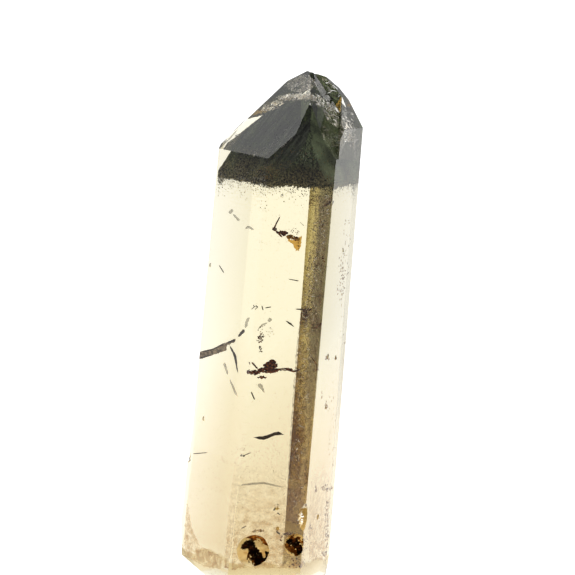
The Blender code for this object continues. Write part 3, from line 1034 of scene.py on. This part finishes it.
FOOT_FLECKS = (
    (266.0, 172.0, 13.0, 8.0, 0.7, 60, 0.14),
    (290.0, 177.0, 12.0, 8.0, 0.7, 60, 0.14),
    (310.0, 181.0, 10.0, 8.0, 0.7, 50, 0.14),
    (326.0, 184.0, 9.0, 8.0, 0.7, 40, 0.14),
    (300.0, 160.0, 30.0, 14.0, 0.7, 60, 0.12),
)
TIP_HAZE = (
    (300.0, 83.0, 16.0, 9.0, 0.3, 760, 0.15),
    (322.0, 84.0, 7.0, 8.0, 0.3, 110, 0.14),
)
# Healed cracks that catch the light: the facing of their flakes, then where they lie.
GLINTS = (
    ((-0.42, -0.10, 0.90), (
        (268.0, 109.0, 7.0, 2.0, 0.3, 34, 0.4),
        (278.0, 103.0, 6.0, 2.2, 0.3, 34, 0.45),
        (288.0, 97.6, 8.0, 2.6, 0.3, 50, 0.5),
        (303.0, 96.4, 9.0, 2.8, 0.3, 50, 0.5),
    )),
    ((0.03, -0.69, 0.72), (
        (272.0, 107.0, 9.0, 2.4, 0.3, 12, 0.4),
        (290.0, 97.4, 12.0, 3.0, 0.3, 20, 0.45),
        (306.0, 96.4, 8.0, 3.0, 0.3, 14, 0.45),
    )),
    ((0.8, -0.5, 0.32), (
        (318.0, 101.0, 5.0, 4.4, 0.3, 22, 0.4),
        (329.0, 111.0, 5.0, 8.0, 0.3, 34, 0.5),
        (336.0, 121.0, 2.4, 9.0, 0.3, 20, 0.5),
        (334.0, 93.0, 8.0, 10.0, 0.3, 7, 0.36),
        (344.0, 124.0, 3.4, 16.0, 0.2, 20, 0.5),
        (351.0, 126.0, 5.0, 16.0, 0.2, 30, 0.7),
        (356.0, 148.0, 3.0, 12.0, 0.2, 16, 0.6),
    )),
    ((0.29, -0.95, -0.09), (
        (301.0, 519.0, 1.8, 7.0, 0.4, 40, 0.3),
    )),
)
GLINT_SHAPE = ((0.5, 1.5), (0.25, 0.7), (0.03, 0.05))
VEIL_PLATE = (((338.6, 118.0), (343.0, 108.0), (349.0, 106.0), (357.0, 117.0), (362.0, 131.0),
               (361.6, 150.0), (358.4, 161.0), (338.0, 158.6)), (0.3, 0.3))
GOLD_PLATE = (((287.5, 237.5), (291.0, 240.0), (296.0, 240.2), (302.0, 236.0), (301.4, 243.0),
               (299.0, 251.0), (296.0, 250.4), (293.0, 244.6), (288.0, 240.6)), (1.3, 1.8))


def smoke(settings):
    """Smoky quartz at the foot: the same clear crystal, browner the deeper it is."""
    material, tree, shader, output = new_material("smoky_quartz_foot")
    shader.inputs["Base Color"].default_value = (1.0, 1.0, 1.0, 1.0)
    shader.inputs["Transmission Weight"].default_value = 1.0
    shader.inputs["IOR"].default_value = 1.0
    shader.inputs["Roughness"].default_value = 0.0
    volume = add_node(tree, "ShaderNodeVolumeAbsorption", Density=settings.smoke_density)
    volume.inputs["Color"].default_value = (*settings.smoke, 1.0)
    tree.links.new(volume.outputs[0], output.inputs["Volume"])
    return material


class PHANTOMQUARTZ_OT_inclusions(bpy.types.Operator):
    """Cracks, feathers, rust and specks inside the clear quartz"""

    bl_idname = "phantom_quartz.inclusions"
    bl_label = "Inclusions"

    def execute(self, context):
        settings = context.scene.quartz_crystal
        # Open cracks: dark slivers of painted shade where the cracks turn the light away.
        shade = dull("open_crack_shadow", "#4a3c28", 0.45)
        veil = dull("healed_crack_veil", "#b5a98c", 0.5, 0.4)
        # Crack plates: a brown stain with painted shade, the dark band of a crack that turns the
        # light away.
        stain_and_shade = mottled("crack_stain_and_shade", "#644c30", "#dcc094", (0.9, 0.9, 0.5), (0.8, 1.0))
        cloud = mottled("cloudy_quartz_veil", "#b98f56", "#e8cc96", (1.6, 1.6, 1.3),
                        (0.05, 0.9), (-53.0, -80.0), 0.85)
        film = mottled("brown_strip_film", "#70402c", "#f0c8ac", (0.45, 0.45, 0.8), (0.0, 0.42))
        gold = stained("iron_oxide_gold", "#f0c263", 0.35)
        brown = iron_oxide("iron_oxide_brown", "#2e140a", "#84401c", "#d8904c", 0.45)
        ochre = iron_oxide("iron_oxide_ochre", "#8a5418", "#d09838", "#ffd878", 0.5)
        speck = dull("growth_specks", "#a48b62", 0.7)
        fleck = dull("chlorite_iron_flecks", "#96794a", 0.6)
        bright = dull("bright_crack_film", "#fffaf0", 0.18)
        bright.node_tree.nodes["Principled BSDF"].inputs["Metallic"].default_value = 1.0
        etched = dull("etch_marks", "#f6f0de", 0.6)
        planes = [face_plane(f, -4.4 if n == "front" else -0.5) for n, f in PRISM_FACES.items()]
        planes += [face_plane(f, -0.5) for f in BREAK_FACES.values()]
        normal, distance = foot_plane()
        planes.append((normal, distance - 0.5))
        front = normal_of(-25.0, 62.0)
        planes.append((front, front.dot(point_on("back", 0.0, -34.0))))
        planes.append((Vector((0.0, 0.0, -1.0)), 78.0))
        finish(take(cut_body(planes), "smoky_foot", smoke(settings)))
        plates = [plate(list(outline), depth) for outline, depth in CRACK_PLATES]
        finish(join(plates, "crack_plates", stain_and_shade))
        plates = [plate(list(outline), depth, ragged=1.8) for outline, depth in CLOUDS]
        finish(join(plates, "cloudy_veils", cloud))
        finish(take(plate(list(STRIP_FILM[0]), STRIP_FILM[1], ragged=0.8), "strip_film", film))
        finish(slivers(DARK_CRACKS, "open_crack_shade", shade, 0.10))
        finish(slivers(GREY_FEATHERS, "healed_cracks", veil, 0.05))
        finish(slivers(RUST_SPLINTERS, "rust_splinters", brown, 0.08))
        for rows, name, material, seed in (
                (BROWN_LUMPS, "rust_mound", brown, 5), (RUST_LUMPS, "rust_specks", brown, 6),
                (OCHRE_LUMPS, "ochre_specks", ochre, 18),
                (GOLD_FLAKES, "golden_crumbs", ochre, 8),
                (HAZE, "growth_specks", speck, 9), (WHITE_SPECKS, "white_specks", etched, 14),
                (FOOT_FLECKS, "foot_flecks", fleck, 17)):
            finish(scattered(crumb(seed), strewn(rows, seed, margin=0.12), name, material))
        glints = []
        for number, (facing, rows) in enumerate(GLINTS):
            glints += strewn(rows, 16 + number, 0.8, GLINT_SHAPE, facing, 0.1, 0.10)
        finish(scattered(crumb(16, 0.5), glints, "bright_cracks", bright))
        haze = strewn(TIP_HAZE, 15, 0.3, GLINT_SHAPE, (0.03, -0.69, 0.72), 0.1, 0.26)
        finish(scattered(crumb(15), haze, "tip_haze", bright))
        finish(take(plate(list(GOLD_PLATE[0]), GOLD_PLATE[1], ragged=1.3), "golden_film", gold))
        milky = mottled("milky_crack_veil", "#6f7058", "#b9b99c", (0.7, 0.7, 1.6), (0.45, 0.8))
        finish(take(plate(list(VEIL_PLATE[0]), VEIL_PLATE[1], ragged=0.8), "milky_veil", milky))
        marks = strewn(STREAKS, 12, 0.6, STREAK_SHAPE, (0.0, -0.8, 0.6), 0.1, 0.5)
        finish(scattered(crumb(4.0), marks, "etch_marks", bright))
        return {"FINISHED"}


class PHANTOMQUARTZ_OT_stage(bpy.types.Operator):
    """Pale floor with painted light glowing on it, lit backdrop, soft studio and the camera"""

    bl_idname = "phantom_quartz.stage"
    bl_label = "Studio"

    def execute(self, context):
        settings = context.scene.quartz_stage
        scene = context.scene
        world = bpy.data.worlds.new("studio")
        scene.world = world
        world.use_nodes = True
        tree = world.node_tree
        sky = add_node(tree, "ShaderNodeTexCoord")
        towards = add_node(tree, "ShaderNodeVectorMath", [(0, sky.outputs["Generated"])],
                           operation="DOT_PRODUCT")
        towards.inputs[1].default_value = BOX_DIRECTION
        ramp = add_node(tree, "ShaderNodeMapRange", [("Value", towards.outputs["Value"])],
                        From_Min=0.50, From_Max=0.75, To_Min=settings.side,
                        To_Max=settings.backdrop, interpolation_type="SMOOTHSTEP")
        background = tree.nodes["Background"]
        tree.links.new(ramp.outputs["Result"], background.inputs["Strength"])
        background.inputs["Color"].default_value = (1.0, 1.0, 1.0, 1.0)
        deselect()
        bpy.ops.mesh.primitive_circle_add(vertices=96, radius=12.0, fill_type="NGON")
        floor, tree, shader, output = new_material("floor_painted_light")
        shader.inputs["Base Color"].default_value = (*linear("#b8b6b2"), 1.0)
        shader.inputs["Roughness"].default_value = 0.9
        spot = add_node(tree, "ShaderNodeTexCoord")
        parts = add_node(tree, "ShaderNodeSeparateXYZ", [(0, spot.outputs["Object"])])
        # Painted light: the floor itself glows, brightest behind and under the crystal and fading
        # towards the front and to both sides.
        painted_glow = add_node(tree, "ShaderNodeMapRange", [("Value", parts.outputs["Y"])],
                        From_Min=-0.16, From_Max=-0.02, To_Min=0.1, To_Max=1.15,
                        interpolation_type="SMOOTHSTEP")
        wing = add_node(tree, "ShaderNodeMapRange", [("Value", parts.outputs["X"])],
                        From_Min=-0.32, From_Max=-0.04, To_Min=0.66, To_Max=1.0,
                        interpolation_type="SMOOTHSTEP")
        far = add_node(tree, "ShaderNodeMapRange", [("Value", parts.outputs["X"])],
                       From_Min=0.02, From_Max=0.24, To_Min=1.0, To_Max=0.87,
                       interpolation_type="SMOOTHSTEP")
        light = product(tree, product(tree, painted_glow.outputs["Result"], wing.outputs["Result"]),
                        far.outputs["Result"])
        tree.links.new(light, shader.inputs["Emission Strength"])
        shader.inputs["Emission Color"].default_value = (1.0, 1.0, 1.0, 1.0)
        take(bpy.context.object, "floor", floor)
        camera = bpy.data.cameras.new("camera")
        camera.lens = settings.lens
        camera.sensor_width = 36.0
        camera.clip_start = 0.01
        stand = bpy.data.objects.new("camera", camera)
        stand.location = camera_place() * MM
        stand.rotation_euler = (math.pi / 2 - VIEW_RISE - VIEW_TURN_DOWN, 0.0, 0.0)
        scene.collection.objects.link(stand)
        scene.camera = stand
        scene.view_settings.view_transform = "Standard"
        scene.cycles.max_bounces = 48
        scene.cycles.transmission_bounces = 48
        scene.cycles.glossy_bounces = 32
        scene.cycles.transparent_max_bounces = 32
        return {"FINISHED"}


class PHANTOMQUARTZ_PT_panel(bpy.types.Panel):
    """Lists the pieces in the order they are built"""

    bl_idname = "PHANTOMQUARTZ_PT_panel"
    bl_label = "Phantom Quartz"
    bl_space_type = "VIEW_3D"
    bl_region_type = "UI"
    bl_category = "Phantom Quartz"

    def draw(self, context):
        for operator in OPERATORS:
            self.layout.operator(operator.bl_idname)


SETTINGS = {
    "quartz_crystal": CrystalSettings,
    "quartz_phantom": PhantomSettings,
    "quartz_stage": StageSettings,
}
OPERATORS = (
    PHANTOMQUARTZ_OT_crystal,
    PHANTOMQUARTZ_OT_phantom,
    PHANTOMQUARTZ_OT_inclusions,
    PHANTOMQUARTZ_OT_stage,
)


def register():
    """Registers the settings, operators and panel."""
    for name, group in SETTINGS.items():
        bpy.utils.register_class(group)
        setattr(bpy.types.Scene, name, bpy.props.PointerProperty(type=group))
    for made in (*OPERATORS, PHANTOMQUARTZ_PT_panel):
        bpy.utils.register_class(made)


def unregister():
    """Removes them again."""
    for made in (PHANTOMQUARTZ_PT_panel, *reversed(OPERATORS)):
        bpy.utils.unregister_class(made)
    for name, group in SETTINGS.items():
        delattr(bpy.types.Scene, name)
        bpy.utils.unregister_class(group)


def main():
    """Builds every piece."""
    register()
    bpy.ops.phantom_quartz.crystal()
    bpy.ops.phantom_quartz.phantom()
    bpy.ops.phantom_quartz.inclusions()
    bpy.ops.phantom_quartz.stage()


if __name__ == "__main__":
    main()
